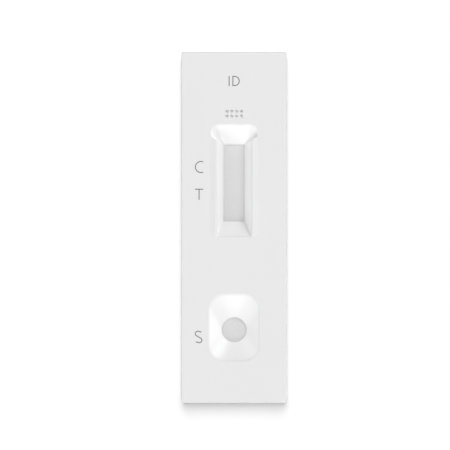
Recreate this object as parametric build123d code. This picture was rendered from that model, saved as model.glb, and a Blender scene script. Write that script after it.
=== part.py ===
from build123d import *
import os

# Lateral flow cassette: a two-part moulded case that holds a paper test strip.
# It lies flat with the reading window up. The origin is under the middle of the case.
# X runs across the case, Y along it towards the absorbent end, and Z up. Sizes are in millimetres.

# Case
case_width = 21.0
case_length = 70.0
wall = 1.0
floor_thickness = 1.0
face_thickness = 1.0
parting_height = 2.4
corner_radius = 0.5
edge_round = 0.2
base_chamfer = 0.2
seam_chamfer = 0.12
root_depth = 0.25
level_tolerance = 0.001

# Lap joint round the parting line
tongue_thickness = 0.45
tongue_height = 0.6
lap_clearance = 0.05

# Test strip, from the bottom up
strip_width = 5.0
card_thickness = 0.25
membrane_thickness = 0.15
conjugate_thickness = 0.35
sample_pad_thickness = 0.6
wick_thickness = 0.8
conjugate_length = 10.0
membrane_overlap = 2.0
sample_overlap = 3.0
membrane_margin = 4.7
ramp_length = 0.6
sample_end_room = 5.0
wick_end_room = 3.0

# Strip cradle in the bottom shell
cradle_height = 0.8
side_clearance = 0.15
rail_thickness = 0.8
rail_gap = 3.2
rail_count = 3
support_bar_width = 1.0
support_bar_count = 9
end_stop_thickness = 0.8
end_stop_rise = 0.5

# Reading window in the top shell
window_centre_y = 8.9
window_length = 15.4
lip_cover = 0.4
lip_clearance = 0.08
lip_edge = 0.1
lip_wall = 0.7
lip_corner = 0.15
frame_width = 9.3
frame_length = 22.5
frame_offset_y = 0.4
frame_corner = 1.5
frame_backing = 0.5
ridge_width = 1.0
ridge_rise = 0.3
ridge_edge_round = 0.1
ridge_near_slope = 1.2
ridge_far_inset = 2.4
wick_start_inset = 1.05

# Sample well in the top shell
well_radius = 2.5
well_centre_y = -20.5
well_edge = 0.25
well_wall = 0.8
well_clearance = 0.05
basin_width = 10.2
basin_length = 13.5
basin_offset_y = 0.5
basin_corner = 3.2
basin_edge_round = 0.25
basin_backing = 0.6
basin_margin = 0.5
flat_stub = 0.02

# Dimples above the window
dimple_pitch = 0.95
dimple_radius = 0.33
dimple_depth = 0.35
dimple_columns = 4
dimple_rows = 2
dimple_gap = 2.1

# Press pins of the top shell and their sockets in the bottom shell
pin_radius = 0.75
pin_clearance = 0.03
pin_floor_gap = 0.4
pin_tip_chamfer = 0.15
socket_wall = 0.7
socket_ceiling_gap = 0.2
socket_side_gap = 0.15
socket_web = 0.6
pin_end_inset = 4.0
inner_pin_y = 10.5

# Pressure bars of the top shell, which keep the strip's layers together
pressure_bar_width = 0.8
pressure_clearance = 0.05
headroom = 0.8

# Heights of the strip and the case
card_bottom = floor_thickness + cradle_height
card_top = card_bottom + card_thickness
membrane_top = card_top + membrane_thickness
case_height = membrane_top + wick_thickness + headroom + face_thickness
ceiling = case_height - face_thickness
floor_root = floor_thickness - root_depth
ceiling_root = ceiling + root_depth
lip_bottom = membrane_top + lip_clearance
well_bottom = card_top + sample_pad_thickness + well_clearance

# Places along the case
strip_start = -case_length / 2 + wall + sample_end_room
strip_end = case_length / 2 - wall - wick_end_room
frame_centre_y = window_centre_y + frame_offset_y
frame_end = frame_centre_y + frame_length / 2
basin_centre_y = well_centre_y + basin_offset_y
wick_start = frame_end - wick_start_inset
membrane_start = window_centre_y - window_length / 2 - membrane_margin
membrane_end = wick_start + membrane_overlap
conjugate_end = membrane_start + membrane_overlap
conjugate_start = conjugate_end - conjugate_length
sample_pad_end = conjugate_start + sample_overlap
window_width = strip_width - 2 * lip_cover

# Places across the case
rail_inner = strip_width / 2 + side_clearance
rail_outer = rail_inner + rail_thickness
socket_radius = pin_radius + pin_clearance + socket_wall
pin_x = case_width / 2 - wall - socket_side_gap - socket_radius
pin_end_y = case_length / 2 - pin_end_inset


def block(x_range, y_range, z_range):
    """A box between pairs of limits."""
    size = [high - low for low, high in (x_range, y_range, z_range)]
    centre = [(high + low) / 2 for low, high in (x_range, y_range, z_range)]
    return Pos(*centre) * Box(*size)


def section(width, length, radius, centre_y, height):
    """A rounded rectangle lying level at a height, as one section of a prism or a loft."""
    return Pos(0, centre_y, height) * RectangleRounded(width, length, radius)


def case_prism(inset, bottom, top):
    """A prism of the case's outline, moved inwards by an inset."""
    radius = max(corner_radius - inset, corner_radius / 2)
    outline = section(case_width - 2 * inset, case_length - 2 * inset, radius, 0, bottom)
    return extrude(outline, amount=top - bottom)


def edges_at(part, height):
    """The edges of a part that lie level at a height."""
    return part.edges().filter_by_position(Axis.Z, height - level_tolerance, height + level_tolerance)


def pin_places():
    """The axis of each press pin, in pairs along the two long sides."""
    rows = (-pin_end_y, -inner_pin_y, inner_pin_y, pin_end_y)
    return [(side * pin_x, y) for y in rows for side in (-1, 1)]


def support_bars():
    """Cross bars that carry the strip above the floor, spaced evenly along it."""
    first = strip_start + support_bar_width
    spacing = (strip_end - strip_start - 2 * support_bar_width) / (support_bar_count - 1)
    middles = [first + spacing * index for index in range(support_bar_count)]
    half = support_bar_width / 2
    across = (-rail_inner, rail_inner)
    rise = (floor_root, card_bottom)
    return [block(across, (y - half, y + half), rise) for y in middles]


def guide_rails():
    """Rails on both sides of the strip, broken into lengths along it."""
    pitch = (strip_end - strip_start + rail_gap) / rail_count
    rails = []
    for side in (-1, 1):
        across = sorted((side * rail_inner, side * rail_outer))
        for index in range(rail_count):
            start = strip_start + index * pitch
            along = (start, start + pitch - rail_gap)
            rails.append(block(across, along, (floor_root, membrane_top)))
    return rails


def end_stops():
    """Stops that keep the strip from sliding along the case."""
    stop_top = card_top + end_stop_rise
    stops = []
    for side, strip_edge in ((-1, strip_start), (1, strip_end)):
        near = strip_edge + side * side_clearance
        far = near + side * end_stop_thickness
        along = sorted((near, far))
        stops.append(block((-rail_outer, rail_outer), along, (floor_root, stop_top)))
    return stops


def sockets():
    """Round sockets that the press pins are pushed into."""
    height = ceiling - socket_ceiling_gap - floor_root
    post = Pos(0, 0, floor_root + height / 2) * Cylinder(socket_radius, height)
    hole_height = ceiling - floor_thickness
    hole = Pos(0, 0, floor_thickness + hole_height / 2) * Cylinder(pin_radius + pin_clearance, hole_height)
    return [Pos(x, y) * (post - hole) for x, y in pin_places()]


def socket_webs():
    """Thin webs that tie the sockets to the side walls."""
    half = socket_web / 2
    rise = (floor_root, parting_height)
    webs = []
    for x, y in pin_places():
        side = 1 if x > 0 else -1
        near = abs(x) + pin_radius + pin_clearance + socket_wall / 2
        far = case_width / 2 - wall + root_depth
        across = sorted((side * near, side * far))
        webs.append(block(across, (y - half, y + half), rise))
    return webs


def make_bottom_shell():
    """The lower shell: a tray with the strip's cradle, the pin sockets and the lap joint's tongue."""
    shell = case_prism(0, 0, parting_height)
    shell = chamfer(edges_at(shell, 0), base_chamfer)
    shell = chamfer(edges_at(shell, parting_height), seam_chamfer)
    tongue_top = parting_height + tongue_height
    shell += case_prism(wall - tongue_thickness, parting_height - root_depth, tongue_top)
    shell -= case_prism(wall, floor_thickness, tongue_top)
    for piece in support_bars() + guide_rails() + end_stops() + sockets() + socket_webs():
        shell += piece
    return shell


def frame_funnel():
    """The space of the window's recess, from the face down to the lip's upright edge."""
    top = section(frame_width, frame_length, frame_corner, frame_centre_y, case_height)
    foot = lip_bottom + lip_edge
    bottom = section(window_width, window_length, lip_corner, window_centre_y, foot)
    return loft([bottom, top], ruled=True)


def frame_backing_solid():
    """The skin behind the window's recess, which hangs below the ceiling."""
    top = section(
        frame_width + 2 * frame_backing,
        frame_length + 2 * frame_backing,
        frame_corner + frame_backing,
        frame_centre_y,
        ceiling_root,
    )
    bottom = section(
        window_width + 2 * lip_wall,
        window_length + 2 * lip_wall,
        lip_corner + lip_wall,
        window_centre_y,
        lip_bottom,
    )
    return loft([bottom, top], ruled=True)


def window_ridge(side):
    """One raised ridge along a long side of the window.

    Its back slopes down to the face at the frame's outline. Its far end is mitred at the recess's corner,
    and its near end runs on to the frame's outline.
    """
    outer = frame_width / 2
    crest = outer - ridge_width
    inner = window_width / 2
    crest_height = case_height + ridge_rise
    foot = lip_bottom + lip_edge
    profile = make_face(
        Polyline(
            (crest, crest_height),
            (inner, foot),
            (inner, lip_bottom),
            (inner + lip_wall / 2, lip_bottom),
            (outer, case_height - face_thickness / 2),
            (outer, case_height),
            close=True,
        )
    )
    far_end = Plane(origin=(0, frame_end, 0), x_dir=(1, 0, 0), z_dir=(0, -1, 0))
    ridge = extrude(far_end * profile, amount=frame_length)
    crest_edge = edges_at(ridge, crest_height).filter_by(Axis.Y)
    ridge = fillet(crest_edge, ridge_edge_round)
    near_end = frame_end - frame_length
    plan = make_face(
        Polyline(
            (outer, frame_end - ridge_far_inset),
            (inner, window_centre_y + window_length / 2),
            (inner, near_end),
            (outer, near_end),
            close=True,
        )
    )
    outline = section(frame_width, frame_length, frame_corner, frame_centre_y, ceiling)
    frame = frame_backing_solid() + extrude(outline, amount=crest_height - ceiling)
    ridge = ridge & extrude(plan, amount=crest_height) & frame
    # The near end slopes down to the face.
    slope = Polyline(
        (near_end, case_height),
        (near_end, crest_height),
        (near_end + ridge_near_slope, crest_height),
        close=True,
    )
    slope_start = Plane(origin=(inner, 0, 0), x_dir=(0, 1, 0), z_dir=(1, 0, 0))
    ridge -= extrude(slope_start * make_face(slope), amount=outer - inner)
    if side < 0:
        ridge = mirror(ridge, about=Plane.YZ)
    return ridge


def basin_funnel():
    """The space of the sample well: a funnel from a rounded rectangle down to a round hole."""
    hole = 2 * well_radius
    foot = well_bottom + well_edge
    top = section(basin_width, basin_length, basin_corner, basin_centre_y, case_height)
    bottom = section(hole, hole, well_radius - flat_stub, well_centre_y, foot)
    drop = case_height - well_bottom
    bore = Pos(0, well_centre_y, well_bottom + drop / 2) * Cylinder(well_radius, drop)
    return loft([bottom, top], ruled=True) + bore


def basin_backing_solid():
    """The skin behind the sample well, down to the edge that stands on the sample pad."""
    rim = 2 * (well_radius + well_wall)
    top = section(
        basin_width + 2 * basin_backing,
        basin_length + 2 * basin_backing,
        basin_corner + basin_backing,
        basin_centre_y,
        ceiling_root,
    )
    bottom = section(rim, rim, rim / 2 - flat_stub, well_centre_y, well_bottom)
    return loft([bottom, top], ruled=True)


def dimples():
    """A small grid of round dimples in the face, above the window."""
    dimple = Cylinder(dimple_radius, dimple_depth)
    places = GridLocations(dimple_pitch, dimple_pitch, dimple_columns, dimple_rows)
    middle = Pos(0, frame_end + dimple_gap, case_height - dimple_depth / 2)
    return [middle * place * dimple for place in places]


def press_pins():
    """Pins below the ceiling, one for each socket."""
    bottom = floor_thickness + pin_floor_gap
    length = ceiling_root - bottom
    pin = Pos(0, 0, bottom + length / 2) * Cylinder(pin_radius, length)
    pin = chamfer(edges_at(pin, bottom), pin_tip_chamfer)
    return [Pos(x, y) * pin for x, y in pin_places()]


def pressure_bars():
    """Bars below the ceiling that stop just above the strip where its layers overlap."""
    half = pressure_bar_width / 2
    conjugate_bar = (conjugate_end - membrane_overlap / 2, membrane_top + conjugate_thickness)
    wick_bar = (membrane_end - half, membrane_top + wick_thickness)
    wick_end_bar = (strip_end - membrane_overlap, card_top + wick_thickness)
    sample_end_bar = (strip_start + half, card_top + sample_pad_thickness)
    bars = []
    for y, rests_on in (conjugate_bar, wick_bar, wick_end_bar, sample_end_bar):
        rise = (rests_on + pressure_clearance, ceiling_root)
        bars.append(block((-rail_outer, rail_outer), (y - half, y + half), rise))
    return bars


def make_top_shell():
    """The upper shell: the face with its window and sample well, the pins and the pressure bars."""
    shell = case_prism(0, parting_height, case_height)
    shell = fillet(edges_at(shell, case_height), edge_round)
    shell = chamfer(edges_at(shell, parting_height), seam_chamfer)
    shell -= case_prism(wall, parting_height, ceiling)
    groove_inset = wall - tongue_thickness - lap_clearance
    groove_top = parting_height + tongue_height + lap_clearance
    shell -= case_prism(groove_inset, parting_height, groove_top)
    for piece in press_pins() + pressure_bars():
        shell += piece
    shell += frame_backing_solid()
    shell += basin_backing_solid()
    shell -= basin_funnel()
    reach = 2 * basin_margin
    basin_box = Pos(0, basin_centre_y, case_height) * Box(basin_width + reach, basin_length + reach, reach)
    basin_rim = [edge for edge in edges_at(shell, case_height) if basin_box.is_inside(edge.center())]
    shell = fillet(basin_rim, basin_edge_round)
    shell -= frame_funnel()
    window_hole = section(window_width, window_length, lip_corner, window_centre_y, lip_bottom)
    shell -= extrude(window_hole, amount=lip_edge)
    shell += window_ridge(-1)
    shell += window_ridge(1)
    for dimple in dimples():
        shell -= dimple
    return shell


def layer(start, end, bottom, thickness):
    """A flat layer of the strip."""
    half = strip_width / 2
    return block((-half, half), (start, end), (bottom, bottom + thickness))


def lapped_pad(free_end, step, lapped_end, step_height, thickness):
    """A pad that lies on the card and climbs over the edge of the layer beside it.

    The step is the edge of that layer, and the pad's ramp ends there.
    """
    towards_free_end = 1 if free_end > lapped_end else -1
    ramp_foot = step + towards_free_end * ramp_length
    raised = card_top + step_height
    underside = [(free_end, card_top), (ramp_foot, card_top), (step, raised), (lapped_end, raised)]
    upper = [(y, z + thickness) for y, z in reversed(underside)]
    profile = make_face(Polyline(*underside, *upper, close=True))
    across = Plane(origin=(-strip_width / 2, 0, 0), x_dir=(0, 1, 0), z_dir=(1, 0, 0))
    return extrude(across * profile, amount=strip_width)


def make_backing_card():
    """The stiff card that carries the other layers."""
    return layer(strip_start, strip_end, card_bottom, card_thickness)


def make_membrane():
    """The membrane below the reading window."""
    return layer(membrane_start, membrane_end, card_top, membrane_thickness)


def make_conjugate_pad():
    """The pad that laps over the near end of the membrane."""
    return lapped_pad(
        conjugate_start, membrane_start, conjugate_end, membrane_thickness, conjugate_thickness
    )


def make_sample_pad():
    """The pad below the sample well, which laps over the conjugate pad."""
    return lapped_pad(
        strip_start, conjugate_start, sample_pad_end, conjugate_thickness, sample_pad_thickness
    )


def make_absorbent_pad():
    """The thick wick that laps over the far end of the membrane."""
    return lapped_pad(strip_end, membrane_end, wick_start, membrane_thickness, wick_thickness)


parts = {
    "bottom_shell": make_bottom_shell(),
    "top_shell": make_top_shell(),
    "backing_card": make_backing_card(),
    "nitrocellulose_membrane": make_membrane(),
    "conjugate_pad": make_conjugate_pad(),
    "sample_pad": make_sample_pad(),
    "absorbent_pad": make_absorbent_pad(),
}

os.makedirs("parts", exist_ok=True)
for name, part in parts.items():
    export_step(part, f"parts/{name}.step")
    size = part.bounding_box().size
    print(f"{name}: {size.X:.2f} x {size.Y:.2f} x {size.Z:.2f} mm, {part.volume:.1f} mm3")
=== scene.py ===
"""Finishes, printed marks, light and camera of a lateral flow cassette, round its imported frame.

Lengths are in metres and places in the frame's own axes: +X across the case, +Y along it from the
sample well towards the absorbent end, and +Z up through the face with the window.
"""

import logging
import math
from dataclasses import dataclass
from enum import Enum

import bpy
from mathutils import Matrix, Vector


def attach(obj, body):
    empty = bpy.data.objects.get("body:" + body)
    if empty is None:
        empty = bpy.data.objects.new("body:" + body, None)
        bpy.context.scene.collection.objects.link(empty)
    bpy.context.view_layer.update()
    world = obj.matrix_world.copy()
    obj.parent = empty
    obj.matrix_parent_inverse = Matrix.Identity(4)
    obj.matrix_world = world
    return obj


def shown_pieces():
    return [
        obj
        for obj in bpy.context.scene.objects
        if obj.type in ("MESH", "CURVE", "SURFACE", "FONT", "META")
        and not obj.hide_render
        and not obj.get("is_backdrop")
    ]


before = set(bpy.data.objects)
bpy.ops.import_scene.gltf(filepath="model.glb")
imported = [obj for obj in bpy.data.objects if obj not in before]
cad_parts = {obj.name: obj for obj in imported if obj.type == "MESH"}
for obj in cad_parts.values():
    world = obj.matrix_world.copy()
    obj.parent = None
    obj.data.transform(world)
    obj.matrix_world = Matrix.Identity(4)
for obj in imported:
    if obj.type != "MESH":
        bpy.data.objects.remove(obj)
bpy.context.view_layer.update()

Colour = tuple[float, float, float, float]
Span = tuple[float, float]
Feed = bpy.types.NodeSocket | float | Colour | tuple[float, float, float]

MM = 0.001
BODY = "root"
NONE_TO_ALL: Span = (0.0, 1.0)
ALL_TO_NONE: Span = (1.0, 0.0)

log = logging.getLogger("lateral_flow_cassette")


def grey(level: float) -> Colour:
    """Gives a plain grey of a linear level."""
    return (level, level, level, 1.0)


class NodeBench:
    """A shader node tree with short ways to add nodes and to link them."""

    # a mix node has a set of sockets for each kind of value, all of the same names,
    # so those for colours go by number
    FIRST_COLOUR = 6
    SECOND_COLOUR = 7
    MIXED_COLOUR = 2

    def __init__(self, tree: bpy.types.ShaderNodeTree) -> None:
        """Keeps the tree, which is that of a material, of the world or of a group."""
        self.tree = tree

    def add(self, kind: str, inputs: dict[str | int, Feed], **choices: object) -> bpy.types.Node:
        """Adds a node, sets its choices and feeds its inputs.

        Args:
            kind: The node's type, such as ShaderNodeBump.
            inputs: A value or an output socket for each input, by the input's name or number.
            choices: The node's own settings, such as its operation.

        Returns:
            The new node.
        """
        node = self.tree.nodes.new(kind)
        for name, choice in choices.items():
            setattr(node, name, choice)
        for name, feed in inputs.items():
            if isinstance(feed, bpy.types.NodeSocket):
                self.link(feed, node.inputs[name])
            else:
                node.inputs[name].default_value = feed
        return node

    def link(self, source: bpy.types.NodeSocket, target: bpy.types.NodeSocket) -> None:
        """Links an output socket to an input socket."""
        self.tree.links.new(source, target)

    def math(self, operation: str, first: Feed, second: Feed = 0.0) -> bpy.types.NodeSocket:
        """Adds a math node and gives its result."""
        return self.add("ShaderNodeMath", {0: first, 1: second}, operation=operation).outputs[0]

    def remap(self, value: Feed, source: Span, target: tuple[Feed, Feed]) -> bpy.types.NodeSocket:
        """Adds a clamped map range node.

        Args:
            value: The number to map.
            source: The range that it comes in.
            target: The range that it leaves in.

        Returns:
            The node's result.
        """
        inputs = {"Value": value, "From Min": source[0], "From Max": source[1]}
        inputs |= {"To Min": target[0], "To Max": target[1]}
        return self.add("ShaderNodeMapRange", inputs).outputs["Result"]

    def mix(self, share: Feed, first: Feed, second: Feed) -> bpy.types.NodeSocket:
        """Adds a node that mixes two colours.

        Args:
            share: The share of the second colour.
            first: The first colour.
            second: The second colour.

        Returns:
            The mixed colour.
        """
        inputs = {"Factor": share, self.FIRST_COLOUR: first, self.SECOND_COLOUR: second}
        return self.add("ShaderNodeMix", inputs, data_type="RGBA").outputs[self.MIXED_COLOUR]


class Effects:
    """The shader node groups that several finishes use, each built once."""

    def __init__(self) -> None:
        """Builds the groups."""
        self.mould_grain = self._mould_grain()
        self.fibre_mat = self._fibre_mat()
        self.soft_mottle = self._soft_mottle()

    @staticmethod
    def _group(
        name: str,
        inputs: dict[str, str],
        outputs: dict[str, str],
    ) -> tuple[NodeBench, dict[str, bpy.types.NodeSocket], dict[str, bpy.types.NodeSocket]]:
        """Starts a node group.

        Args:
            name: The group's name.
            inputs: The socket type of each input.
            outputs: The socket type of each output.

        Returns:
            The group's bench, the sockets that bring its inputs, and the sockets that take its outputs.
        """
        tree = bpy.data.node_groups.new(name, "ShaderNodeTree")
        for socket, kind in inputs.items():
            tree.interface.new_socket(socket, in_out="INPUT", socket_type=kind)
        for socket, kind in outputs.items():
            tree.interface.new_socket(socket, in_out="OUTPUT", socket_type=kind)
        bench = NodeBench(tree)
        given = bench.add("NodeGroupInput", {}).outputs
        taken = bench.add("NodeGroupOutput", {}).inputs
        return bench, {name: given[name] for name in inputs}, {name: taken[name] for name in outputs}

    def _mould_grain(self) -> bpy.types.ShaderNodeTree:
        """Builds the grain that a spark-eroded mould leaves: small overlapping craters on a finer noise.

        Returns:
            A group from Vector and Size to Height and Pits, both from 0 to 1.
        """
        crater_share = 0.6
        crater_smoothness = 0.6
        fine_share = 0.45
        pit_heights = (0.15, 0.6)
        bench, given, taken = self._group(
            "mould_grain",
            {"Vector": "NodeSocketVector", "Size": "NodeSocketFloat"},
            {"Height": "NodeSocketFloat", "Pits": "NodeSocketFloat"},
        )
        scale = bench.math("DIVIDE", 1.0, given["Size"])
        fine_scale = bench.math("DIVIDE", scale, fine_share)
        craters = bench.add(
            "ShaderNodeTexVoronoi",
            {"Vector": given["Vector"], "Scale": scale, "Smoothness": crater_smoothness},
            feature="SMOOTH_F1",
        )
        fine = bench.add(
            "ShaderNodeTexNoise",
            {"Vector": given["Vector"], "Scale": fine_scale, "Detail": 2.0, "Roughness": 0.55},
        )
        crater_part = bench.math("MULTIPLY", craters.outputs["Distance"], crater_share)
        fine_part = bench.math("MULTIPLY", fine.outputs["Fac"], 1.0 - crater_share)
        height = bench.math("ADD", crater_part, fine_part)
        bench.link(height, taken["Height"])
        bench.link(bench.remap(height, pit_heights, ALL_TO_NONE), taken["Pits"])
        return bench.tree

    def _fibre_mat(self) -> bpy.types.ShaderNodeTree:
        """Builds a mat of curved fibres that cross each other at several angles, on a cloudy pulp.

        Returns:
            A group from Vector and Size, the distance between fibres, to Height and Fibres, from 0 to 1.
        """
        directions = 5
        shift_across = 1 * MM
        shift_up = 2 * MM
        stretch = 0.22
        noise_middle = 0.5
        thread_half_width = 0.05
        fibre_weight = 0.6
        bench, given, taken = self._group(
            "fibre_mat",
            {"Vector": "NodeSocketVector", "Size": "NodeSocketFloat"},
            {"Height": "NodeSocketFloat", "Fibres": "NodeSocketFloat"},
        )
        scale = bench.math("DIVIDE", 1.0, given["Size"])
        fibres = None
        for index in range(directions):
            turn = math.pi * index / directions
            along = bench.add(
                "ShaderNodeMapping",
                {
                    "Vector": given["Vector"],
                    "Location": (shift_across * index, 0.0, shift_up * index),
                    "Rotation": (0.0, 0.0, turn),
                    "Scale": (1.0, stretch, 1.0),
                },
            )
            field = bench.add(
                "ShaderNodeTexNoise",
                {"Vector": along.outputs["Vector"], "Scale": scale, "Detail": 1.0, "Distortion": 0.4},
            )
            away = bench.math("ABSOLUTE", bench.math("SUBTRACT", field.outputs["Fac"], noise_middle))
            thread = bench.remap(away, (0.0, thread_half_width), ALL_TO_NONE)
            fibres = thread if fibres is None else bench.math("MAXIMUM", fibres, thread)
        pulp = bench.add(
            "ShaderNodeTexNoise",
            {"Vector": given["Vector"], "Scale": scale, "Detail": 4.0, "Roughness": 0.6},
        )
        both = bench.math("ADD", bench.math("MULTIPLY", fibres, fibre_weight), pulp.outputs["Fac"])
        bench.link(bench.math("DIVIDE", both, 1.0 + fibre_weight), taken["Height"])
        bench.link(fibres, taken["Fibres"])
        return bench.tree

    def _soft_mottle(self) -> bpy.types.ShaderNodeTree:
        """Builds a faint cloudy change from one colour to another.

        Returns:
            A group from Vector, Size, Light and Shade to Colour.
        """
        cloud_edges = (0.35, 0.65)
        bench, given, taken = self._group(
            "soft_mottle",
            {
                "Vector": "NodeSocketVector",
                "Size": "NodeSocketFloat",
                "Light": "NodeSocketColor",
                "Shade": "NodeSocketColor",
            },
            {"Colour": "NodeSocketColor"},
        )
        scale = bench.math("DIVIDE", 1.0, given["Size"])
        cloud = bench.add(
            "ShaderNodeTexNoise",
            {"Vector": given["Vector"], "Scale": scale, "Detail": 3.0, "Roughness": 0.5},
        )
        share = bench.remap(cloud.outputs["Fac"], cloud_edges, NONE_TO_ALL)
        bench.link(bench.mix(share, given["Light"], given["Shade"]), taken["Colour"])
        return bench.tree


@dataclass(frozen=True)
class Ground:
    """A material that has its mottled colour and still needs its texture."""

    material: bpy.types.Material
    bench: NodeBench
    shader: bpy.types.Node
    mottle: bpy.types.NodeSocket
    place: bpy.types.NodeSocket

    def pattern(self, group: bpy.types.ShaderNodeTree, size: float) -> bpy.types.Node:
        """Places a shared group that makes a pattern of a size, on the piece's own coordinates."""
        return self.bench.add("ShaderNodeGroup", {"Vector": self.place, "Size": size}, node_tree=group)

    def texture(self, relief: Feed, depth: float, mask: Feed, roughness: Span) -> None:
        """Gives the shader its relief and its roughness.

        Args:
            relief: The height of the surface, from 0 to 1.
            depth: How deep the relief is.
            mask: A mask from 0 to 1 that the roughness follows.
            roughness: The roughness where the mask is 0, and where it is 1.
        """
        bump = self.bench.add("ShaderNodeBump", {"Height": relief, "Distance": depth})
        self.bench.link(bump.outputs["Normal"], self.shader.inputs["Normal"])
        self.bench.link(self.bench.remap(mask, NONE_TO_ALL, roughness), self.shader.inputs["Roughness"])


@dataclass(frozen=True)
class Finish:
    """What every finish has: its name, its two close colours and how it takes the light."""

    name: str
    light: Colour
    shade: Colour
    mottle_size: float
    refraction: float
    roughness: Span

    def start(self, effects: Effects) -> Ground:
        """Starts the finish's material with its mottled colour.

        Args:
            effects: The shared node groups.

        Returns:
            The material with what its texture needs.
        """
        material = bpy.data.materials.new(self.name)
        material.use_nodes = True
        material.node_tree.nodes.clear()
        bench = NodeBench(material.node_tree)
        place = bench.add("ShaderNodeTexCoord", {}).outputs["Object"]
        inputs = {"Vector": place, "Size": self.mottle_size, "Light": self.light, "Shade": self.shade}
        group = bench.add("ShaderNodeGroup", inputs, node_tree=effects.soft_mottle)
        mottle = group.outputs["Colour"]
        shader = bench.add("ShaderNodeBsdfPrincipled", {"Base Color": mottle, "IOR": self.refraction})
        bench.add("ShaderNodeOutputMaterial", {"Surface": shader.outputs["BSDF"]})
        return Ground(material, bench, shader, mottle, place)


@dataclass(frozen=True)
class MouldedPlastic(Finish):
    """White polystyrene from a mould that is spark-eroded at the face.

    Below the face, in the recesses and on the sides, the mould is given a polish and the plastic is
    smoother. Its colour there is painted lighter, as painted light on the recess walls and dimples.
    """

    grain_size: float
    grain_depth: float
    # painted light: a lighter colour for everything below the face, which brightens the recess walls and
    # dimples
    below_face_painted_light: Colour
    polish_below: float
    polish_fade: float
    polish_share: float

    def make(self, effects: Effects) -> bpy.types.Material:
        """Builds the material.

        Args:
            effects: The shared node groups.

        Returns:
            The material.
        """
        ridge_share = 0.5
        ground = self.start(effects)
        bench = ground.bench
        grain = ground.pattern(effects.mould_grain, self.grain_size)
        height = bench.add("ShaderNodeSeparateXYZ", {"Vector": ground.place}).outputs["Z"]
        polish_edge = (self.polish_below - self.polish_fade, self.polish_below)
        eroded = bench.remap(height, polish_edge, NONE_TO_ALL)
        # below the face the colour is painted lighter, as painted light on the recess walls and dimples;
        # the face keeps its mottle
        colour = bench.mix(eroded, self.below_face_painted_light, ground.mottle)
        bench.link(colour, ground.shader.inputs["Base Color"])
        strength = bench.remap(eroded, NONE_TO_ALL, (self.polish_share, 1.0))
        relief = bench.math("MULTIPLY", grain.outputs["Height"], strength)
        pits = bench.remap(grain.outputs["Pits"], NONE_TO_ALL, (ridge_share, 1.0))
        ground.texture(relief, self.grain_depth, bench.math("MULTIPLY", pits, strength), self.roughness)
        return ground.material


@dataclass(frozen=True)
class FibrePaper(Finish):
    """A soft absorbent mat, such as a pad of cellulose or glass fibre."""

    fibre_spacing: float
    fibre_depth: float

    def make(self, effects: Effects) -> bpy.types.Material:
        """Builds the material.

        Args:
            effects: The shared node groups.

        Returns:
            The material.
        """
        ground = self.start(effects)
        mat = ground.pattern(effects.fibre_mat, self.fibre_spacing)
        ground.texture(mat.outputs["Height"], self.fibre_depth, mat.outputs["Fibres"], self.roughness)
        return ground.material


@dataclass(frozen=True)
class SmoothSheet(Finish):
    """A smooth rolled or cast film, such as the backing card or a print's ink."""

    grain_size: float
    grain_depth: float

    def make(self, effects: Effects) -> bpy.types.Material:
        """Builds the material.

        Args:
            effects: The shared node groups.

        Returns:
            The material.
        """
        ground = self.start(effects)
        grain = ground.pattern(effects.mould_grain, self.grain_size)
        ground.texture(grain.outputs["Height"], self.grain_depth, grain.outputs["Pits"], self.roughness)
        return ground.material


def dress(piece: bpy.types.Object, material: bpy.types.Material) -> None:
    """Gives a piece one material all over.

    Args:
        piece: The piece or CAD node.
        material: Its finish.
    """
    if not piece.material_slots:
        piece.data.materials.append(material)
    for slot in piece.material_slots:
        slot.material = material


class Shell(Enum):
    """The two mouldings of the case."""

    TOP = "top_shell"
    BOTTOM = "bottom_shell"


@dataclass
class Case:
    """The two moulded shells, shown as the CAD has them."""

    light_tone: float = 0.826
    shade_tone: float = 0.818
    # painted light: the lighter tone below the face, which brightens the recess walls and dimples
    below_face_painted_light_tone: float = 0.88
    mottle_size: float = 9 * MM
    grain_size: float = 0.11 * MM
    grain_depth: float = 0.004 * MM
    polish_depth: float = 0.1 * MM
    polish_fade: float = 0.1 * MM
    level_slack: float = 0.001

    @property
    def face_height(self) -> float:
        """The height of the flat face, which is the top shell's largest level facet.

        Returns:
            The height in the frame.
        """
        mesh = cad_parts[Shell.TOP.value].data
        level = [facet for facet in mesh.polygons if facet.normal.z > 1.0 - self.level_slack]
        return max(level, key=lambda facet: facet.area).center.z

    def dress(self, effects: Effects) -> list[bpy.types.Object]:
        """Dresses both shells.

        Args:
            effects: The shared node groups.

        Returns:
            The shells.
        """
        plastic = MouldedPlastic(
            name="moulded_plastic",
            light=grey(self.light_tone),
            shade=grey(self.shade_tone),
            mottle_size=self.mottle_size,
            refraction=1.55,
            roughness=(0.34, 0.5),
            grain_size=self.grain_size,
            grain_depth=self.grain_depth,
            # painted light: everything below the face gets the lighter colour
            below_face_painted_light=grey(self.below_face_painted_light_tone),
            polish_below=self.face_height - self.polish_depth,
            polish_fade=self.polish_fade,
            polish_share=0.35,
        ).make(effects)
        shells = [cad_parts[shell.value] for shell in Shell]
        for shell in shells:
            dress(shell, plastic)
        return shells


class Layer(Enum):
    """The layers of the test strip."""

    CARD = "backing_card"
    MEMBRANE = "nitrocellulose_membrane"
    CONJUGATE_PAD = "conjugate_pad"
    SAMPLE_PAD = "sample_pad"
    ABSORBENT_PAD = "absorbent_pad"


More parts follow.
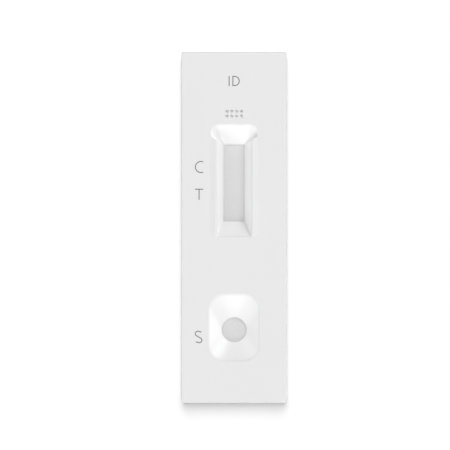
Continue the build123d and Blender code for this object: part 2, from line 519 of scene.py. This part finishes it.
@dataclass
class TestStrip:
    """The layered strip in the case, seen through the window and the well."""

    membrane_tone: float = 0.79
    membrane_mottle: float = 0.012
    membrane_pores: float = 0.06 * MM
    paper_tone: float = 0.77
    paper_mottle: float = 0.03
    paper_fibres: float = 0.22 * MM
    glass_fibres: float = 0.12 * MM
    card_grain: float = 0.3 * MM

    def finishes(self) -> dict[Layer, Finish]:
        """Gives the finish of each layer.

        Returns:
            The finishes. The sample pad and the absorbent pad are of one paper.
        """
        card = SmoothSheet(
            name="backing_sheet",
            light=grey(0.86),
            shade=grey(0.85),
            mottle_size=4 * MM,
            refraction=1.55,
            roughness=(0.35, 0.45),
            grain_size=self.card_grain,
            grain_depth=0.002 * MM,
        )
        membrane = FibrePaper(
            name="membrane_film",
            light=grey(self.membrane_tone),
            shade=grey(self.membrane_tone - self.membrane_mottle),
            mottle_size=0.8 * MM,
            refraction=1.4,
            roughness=(0.9, 0.8),
            fibre_spacing=self.membrane_pores,
            fibre_depth=0.003 * MM,
        )
        paper = FibrePaper(
            name="cellulose_paper",
            light=grey(self.paper_tone),
            shade=grey(self.paper_tone - self.paper_mottle),
            mottle_size=0.5 * MM,
            refraction=1.4,
            roughness=(1.0, 0.85),
            fibre_spacing=self.paper_fibres,
            fibre_depth=0.02 * MM,
        )
        glass_mat = FibrePaper(
            name="glass_fibre_mat",
            light=(0.84, 0.83, 0.82, 1.0),
            shade=(0.80, 0.79, 0.78, 1.0),
            mottle_size=0.7 * MM,
            refraction=1.45,
            roughness=(0.9, 0.6),
            fibre_spacing=self.glass_fibres,
            fibre_depth=0.01 * MM,
        )
        return {
            Layer.CARD: card,
            Layer.MEMBRANE: membrane,
            Layer.CONJUGATE_PAD: glass_mat,
            Layer.SAMPLE_PAD: paper,
            Layer.ABSORBENT_PAD: paper,
        }

    def dress(self, effects: Effects) -> list[bpy.types.Object]:
        """Dresses every layer.

        Args:
            effects: The shared node groups.

        Returns:
            The layers.
        """
        made = {}
        layers = []
        for layer, finish in self.finishes().items():
            if finish.name not in made:
                made[finish.name] = finish.make(effects)
            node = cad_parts[layer.value]
            dress(node, made[finish.name])
            layers.append(node)
        return layers


@dataclass(frozen=True)
class Run:
    """A straight stretch of a pen stroke."""

    length: float


@dataclass(frozen=True)
class Bend:
    """A round stretch of a pen stroke, which turns left where its angle in degrees is above zero."""

    radius: float
    angle: float


@dataclass(frozen=True)
class Stroke:
    """One stroke of the pen: its start from the mark's centre, its heading from +X, and its path.

    The heading is in degrees.
    """

    start: tuple[float, float]
    heading: float
    path: tuple[Run | Bend, ...]


@dataclass(frozen=True)
class Mark:
    """A printed mark: where its centre is on the face, and the strokes that draw it."""

    name: str
    centre: tuple[float, float]
    strokes: tuple[Stroke, ...]


@dataclass
class PrintedMarks:
    """The thin marks that are pad-printed on the face, each a film of ink with its own edge.

    Slopes, the half mouth and the step are in degrees.
    """

    face_height: float
    line_width: float = 0.18 * MM
    ink_thickness: float = 0.015 * MM
    ink_sink: float = 0.005 * MM
    ink_light_tone: float = 0.17
    ink_shade_tone: float = 0.14
    control_centre: tuple[float, float] = (-7.0 * MM, 12.05 * MM)
    control_height: float = 2.4 * MM
    control_shift: float = 0.38 * MM
    control_half_mouth: float = 68.0
    test_centre: tuple[float, float] = (-7.0 * MM, 6.6 * MM)
    test_width: float = 1.65 * MM
    test_height: float = 2.2 * MM
    sample_centre: tuple[float, float] = (-7.1 * MM, -21.85 * MM)
    sample_bowl: float = 0.49 * MM
    sample_spine: float = 0.93 * MM
    sample_spine_slope: float = 30.0
    sample_arm: float = 0.6 * MM
    sample_arm_slope: float = 15.0
    identity_centre: tuple[float, float] = (0.0, 29.2 * MM)
    identity_height: float = 2.0 * MM
    identity_gap: float = 0.75 * MM
    identity_shoulder: float = 0.35 * MM
    bend_step: float = 8.0
    weld_distance: float = 0.0005 * MM

    def control_mark(self) -> Mark:
        """Gives the round letter for the control line.

        Returns:
            The mark, one arc that is open to the right.
        """
        radius = (self.control_height - self.line_width) / 2
        opening = math.radians(self.control_half_mouth)
        start = (self.control_shift + radius * math.cos(opening), radius * math.sin(opening))
        arc = Bend(radius, 360 - 2 * self.control_half_mouth)
        stroke = Stroke(start, 90 + self.control_half_mouth, (arc,))
        return Mark("mark_control", self.control_centre, (stroke,))

    def test_mark(self) -> Mark:
        """Gives the letter of two bars for the test line.

        Returns:
            The mark, a bar across and a bar down.
        """
        bar_line = (self.test_height - self.line_width) / 2
        across = Stroke((-self.test_width / 2, bar_line), 0, (Run(self.test_width),))
        down = Stroke((0, bar_line), 270, (Run(self.test_height - self.line_width / 2),))
        return Mark("mark_test", self.test_centre, (across, down))

    def sample_mark(self) -> Mark:
        """Gives the letter of two bowls for the sample well.

        Returns:
            The mark, one stroke from its upper right end, the same when it is turned upside down.
        """
        bowl = self.sample_bowl
        fall = math.radians(self.sample_spine_slope)
        dip = math.radians(self.sample_arm_slope)
        across = (
            bowl * (math.sin(fall) + math.sin(dip))
            + self.sample_arm * math.cos(dip)
            - self.sample_spine / 2 * math.cos(fall)
        )
        up = (
            bowl * (math.cos(fall) + math.cos(dip))
            - self.sample_arm * math.sin(dip)
            + self.sample_spine / 2 * math.sin(fall)
        )
        turn = 180 - self.sample_spine_slope + self.sample_arm_slope
        arm = Run(self.sample_arm)
        path = (arm, Bend(bowl, turn), Run(self.sample_spine), Bend(bowl, -turn), arm)
        stroke = Stroke((across, up), 180 - self.sample_arm_slope, path)
        return Mark("mark_sample", self.sample_centre, (stroke,))

    def identity_mark(self) -> Mark:
        """Gives the two generic letters over the window, where a user would note the sample's number.

        Returns:
            The mark, an upright, a second upright and its round side.
        """
        shoulder = Run(self.identity_shoulder)
        line_height = self.identity_height - self.line_width
        bowl = line_height / 2
        letter_width = self.identity_shoulder + bowl
        left = -(self.identity_gap + letter_width) / 2
        stem = left + self.identity_gap
        foot = -self.identity_height / 2
        first = Stroke((left, foot), 90, (Run(self.identity_height),))
        upright = Stroke((stem, foot), 90, (Run(self.identity_height),))
        round_side = Stroke((stem, line_height / 2), 0, (shoulder, Bend(bowl, -180), shoulder))
        return Mark("mark_identity", self.identity_centre, (first, upright, round_side))

    def draw(self, mark: Mark, stroke: Stroke) -> bpy.types.Object:
        """Draws one stroke as a thin closed ribbon that lies on the face.

        Args:
            mark: The mark that the stroke is part of.
            stroke: The stroke.

        Returns:
            The ribbon, at the origin with its place in its mesh.
        """
        heading = math.radians(stroke.heading)
        middle = self.face_height + self.ink_thickness / 2 - self.ink_sink / 2
        place = Vector((mark.centre[0] + stroke.start[0], mark.centre[1] + stroke.start[1], middle))
        bpy.ops.object.select_all(action="DESELECT")
        bpy.ops.mesh.primitive_plane_add(size=1, location=place, rotation=(0, math.pi / 2, heading))
        ribbon = bpy.context.active_object
        ribbon.scale = (self.ink_thickness + self.ink_sink, self.line_width, 1)
        bpy.ops.object.transform_apply(location=True, rotation=True, scale=True)
        bpy.ops.object.mode_set(mode="EDIT")
        bpy.ops.mesh.select_all(action="SELECT")
        for stretch in stroke.path:
            forward = Vector((math.cos(heading), math.sin(heading), 0))
            if isinstance(stretch, Run):
                move = forward * stretch.length
                bpy.ops.mesh.extrude_region_move(TRANSFORM_OT_translate={"value": tuple(move)})
                place = place + move
                continue
            hand = math.copysign(1, stretch.angle)
            centre = place + Vector((-forward.y, forward.x, 0)) * hand * stretch.radius
            turn = math.radians(abs(stretch.angle))
            steps = math.ceil(abs(stretch.angle) / self.bend_step)
            bpy.ops.mesh.spin(steps=steps, angle=turn, center=centre, axis=(0, 0, -hand))
            heading += hand * turn
            outward = Vector((math.sin(heading), -math.cos(heading), 0)) * hand
            place = centre + outward * stretch.radius
        bpy.ops.mesh.select_all(action="SELECT")
        bpy.ops.mesh.remove_doubles(threshold=self.weld_distance)
        bpy.ops.mesh.normals_make_consistent(inside=False)
        bpy.ops.object.mode_set(mode="OBJECT")
        return ribbon

    @staticmethod
    def unite(ribbons: list[bpy.types.Object]) -> bpy.types.Object:
        """Makes one closed mesh of the ribbons of a mark.

        Args:
            ribbons: The ribbons, which may cross.

        Returns:
            The first ribbon, which holds them all.
        """
        whole = ribbons[0]
        bpy.ops.object.select_all(action="DESELECT")
        bpy.context.view_layer.objects.active = whole
        for other in ribbons[1:]:
            union = whole.modifiers.new("union", "BOOLEAN")
            union.operation = "UNION"
            union.solver = "EXACT"
            union.object = other
            bpy.ops.object.modifier_apply(modifier=union.name)
            bpy.data.objects.remove(other)
        return whole

    def build(self, effects: Effects) -> list[bpy.types.Object]:
        """Builds and dresses every mark.

        Args:
            effects: The shared node groups.

        Returns:
            The marks.
        """
        ink = SmoothSheet(
            name="print_ink",
            light=grey(self.ink_light_tone),
            shade=grey(self.ink_shade_tone),
            mottle_size=0.2 * MM,
            refraction=1.5,
            roughness=(0.5, 0.7),
            grain_size=0.05 * MM,
            grain_depth=0.001 * MM,
        ).make(effects)
        marks = []
        for mark in (self.control_mark(), self.test_mark(), self.sample_mark(), self.identity_mark()):
            whole = self.unite([self.draw(mark, stroke) for stroke in mark.strokes])
            whole.name = mark.name
            whole.data.name = mark.name
            dress(whole, ink)
            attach(whole, BODY)
            marks.append(whole)
        return marks


@dataclass(frozen=True)
class SoftLamp:
    """A broad distant lamp: where its light comes from, in degrees, its level and how wide it is.

    The level is the share of white that the lamp alone would give a white surface that faces it.
    """

    name: str
    azimuth: float
    elevation: float
    level: float
    spread: float

    def hang(self, lit: bpy.types.Collection) -> None:
        """Adds the lamp.

        Args:
            lit: The objects that the lamp lights. All objects throw their shadows in its light.
        """
        azimuth = math.radians(self.azimuth)
        elevation = math.radians(self.elevation)
        flat = math.cos(elevation)
        source = Vector((flat * math.cos(azimuth), flat * math.sin(azimuth), math.sin(elevation)))
        turn = source.to_track_quat("Z", "Y").to_euler()
        bpy.ops.object.light_add(type="SUN", location=source, rotation=turn)
        lamp = bpy.context.active_object
        lamp.name = self.name
        lamp.data.energy = math.pi * self.level
        lamp.data.angle = math.radians(self.spread)
        lamp.light_linking.receiver_collection = lit


@dataclass
class Studio:
    """The pale floor, the soft light and the camera straight above the case.

    The floor shows its own tone and a faint glow where it is seen, and throws light back on the case
    with the tone of its bounce. Its lamps go from overhead down behind the case, so the shadow lies
    in front of the case and fades away from it.
    """

    face_height: float
    floor_size: float = 6.0
    floor_gap: float = 0.02 * MM
    floor_tone: float = 0.4
    floor_bounce: float = 0.12
    floor_glow: float = 0.05
    floor_lamps: tuple[SoftLamp, ...] = (
        SoftLamp("overhead_floor_lamp", azimuth=90, elevation=90, level=0.6, spread=8),
        SoftLamp("floor_lamp_1", azimuth=90, elevation=84, level=0.46, spread=16),
        SoftLamp("floor_lamp_2", azimuth=90, elevation=75, level=0.48, spread=24),
        SoftLamp("floor_lamp_3", azimuth=90, elevation=64, level=0.43, spread=34),
        SoftLamp("floor_lamp_4", azimuth=90, elevation=52, level=0.49, spread=40),
    )
    sky_level: float = 0.15
    case_lamps: tuple[SoftLamp, ...] = (
        SoftLamp("right_lamp", azimuth=0, elevation=18, level=0.266, spread=30),
        SoftLamp("back_right_lamp", azimuth=45, elevation=40, level=0.42, spread=30),
        SoftLamp("back_left_lamp", azimuth=135, elevation=40, level=0.25, spread=30),
        SoftLamp("front_left_lamp", azimuth=225, elevation=18, level=0.363, spread=30),
        SoftLamp("low_front_lamp", azimuth=270, elevation=18, level=0.196, spread=30),
        SoftLamp("high_front_lamp", azimuth=270, elevation=40, level=0.214, spread=30),
    )
    view_width: float = 89.75 * MM
    view_centre: tuple[float, float] = (-1.83 * MM, 0.48 * MM)
    lens: float = 200.0
    sensor: float = 36.0
    clip_ratio: float = 100.0

    @staticmethod
    def seen(bench: NodeBench) -> bpy.types.NodeSocket:
        """Tells the rays that show the background itself from those that light the object.

        Args:
            bench: The bench of the floor's or the sky's nodes.

        Returns:
            A socket that gives 1 for the first and 0 for the second.
        """
        path = bench.add("ShaderNodeLightPath", {})
        direct = bench.math("MAXIMUM", path.outputs["Is Camera Ray"], path.outputs["Is Glossy Ray"])
        return bench.math("MAXIMUM", direct, path.outputs["Is Transmission Ray"])

    def lay_floor(self) -> bpy.types.Object:
        """Lays the floor, which is white where no shadow falls.

        Returns:
            The floor.
        """
        bpy.ops.object.select_all(action="DESELECT")
        bpy.ops.mesh.primitive_plane_add(size=self.floor_size, location=(0, 0, -self.floor_gap))
        floor = bpy.context.active_object
        floor.name = "studio_floor"
        bpy.ops.object.transform_apply(location=True, rotation=True, scale=True)
        material = bpy.data.materials.new("studio_floor")
        material.use_nodes = True
        material.node_tree.nodes.clear()
        bench = NodeBench(material.node_tree)
        seen = self.seen(bench)
        tone = bench.remap(seen, NONE_TO_ALL, (self.floor_bounce, self.floor_tone))
        matt = bench.add("ShaderNodeBsdfDiffuse", {"Color": tone})
        strength = bench.math("MULTIPLY", seen, self.floor_glow)
        glow = bench.add("ShaderNodeEmission", {"Color": grey(1.0), "Strength": strength})
        both = bench.add("ShaderNodeAddShader", {0: matt.outputs["BSDF"], 1: glow.outputs["Emission"]})
        bench.add("ShaderNodeOutputMaterial", {"Surface": both.outputs["Shader"]})
        dress(floor, material)
        floor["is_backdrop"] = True
        return floor

    def light_sky(self) -> None:
        """Sets the even light from all round, which is plain white where it is seen."""
        world = bpy.data.worlds.new("studio_sky")
        bpy.context.scene.world = world
        world.use_nodes = True
        world.node_tree.nodes.clear()
        bench = NodeBench(world.node_tree)
        strength = bench.remap(self.seen(bench), NONE_TO_ALL, (self.sky_level, 1.0))
        sky = bench.add("ShaderNodeBackground", {"Color": grey(1.0), "Strength": strength})
        bench.add("ShaderNodeOutputWorld", {"Surface": sky.outputs["Background"]})

    def hang_lamps(self, floor: bpy.types.Object) -> None:
        """Hangs the lamps. Those round the case light only the case, and those over it only the floor.

        Args:
            floor: The floor.
        """
        case_pieces = bpy.data.collections.new("case_pieces")
        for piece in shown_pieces():
            case_pieces.objects.link(piece)
        floor_alone = bpy.data.collections.new("floor_alone")
        floor_alone.objects.link(floor)
        for lamp in self.case_lamps:
            lamp.hang(case_pieces)
        for lamp in self.floor_lamps:
            lamp.hang(floor_alone)

    def place_camera(self) -> None:
        """Places the camera straight above the face, with +Y up in the picture."""
        above = self.view_width * self.lens / self.sensor
        place = (*self.view_centre, self.face_height + above)
        bpy.ops.object.camera_add(location=place, rotation=(0, 0, 0))
        camera = bpy.context.active_object
        camera.name = "studio_camera"
        camera.data.lens = self.lens
        camera.data.sensor_width = self.sensor
        camera.data.clip_start = above / self.clip_ratio
        camera.data.clip_end = above * self.clip_ratio
        bpy.context.scene.camera = camera

    def build(self) -> None:
        """Sets up the floor, the lights, the camera and the plain view transform."""
        floor = self.lay_floor()
        self.light_sky()
        self.hang_lamps(floor)
        self.place_camera()
        bpy.context.scene.view_settings.view_transform = "Standard"


def main() -> None:
    """Dresses the cassette, reports each piece and sets up the studio."""
    logging.basicConfig(level=logging.INFO, format="%(message)s")
    effects = Effects()
    case = Case()
    pieces = case.dress(effects)
    pieces += TestStrip().dress(effects)
    pieces += PrintedMarks(case.face_height).build(effects)
    for piece in pieces:
        finish = piece.material_slots[0].material.name
        log.info("%s: %s, %d faces", piece.name, finish.replace("_", " "), len(piece.data.polygons))
    Studio(case.face_height).build()


if __name__ == "__main__":
    main()
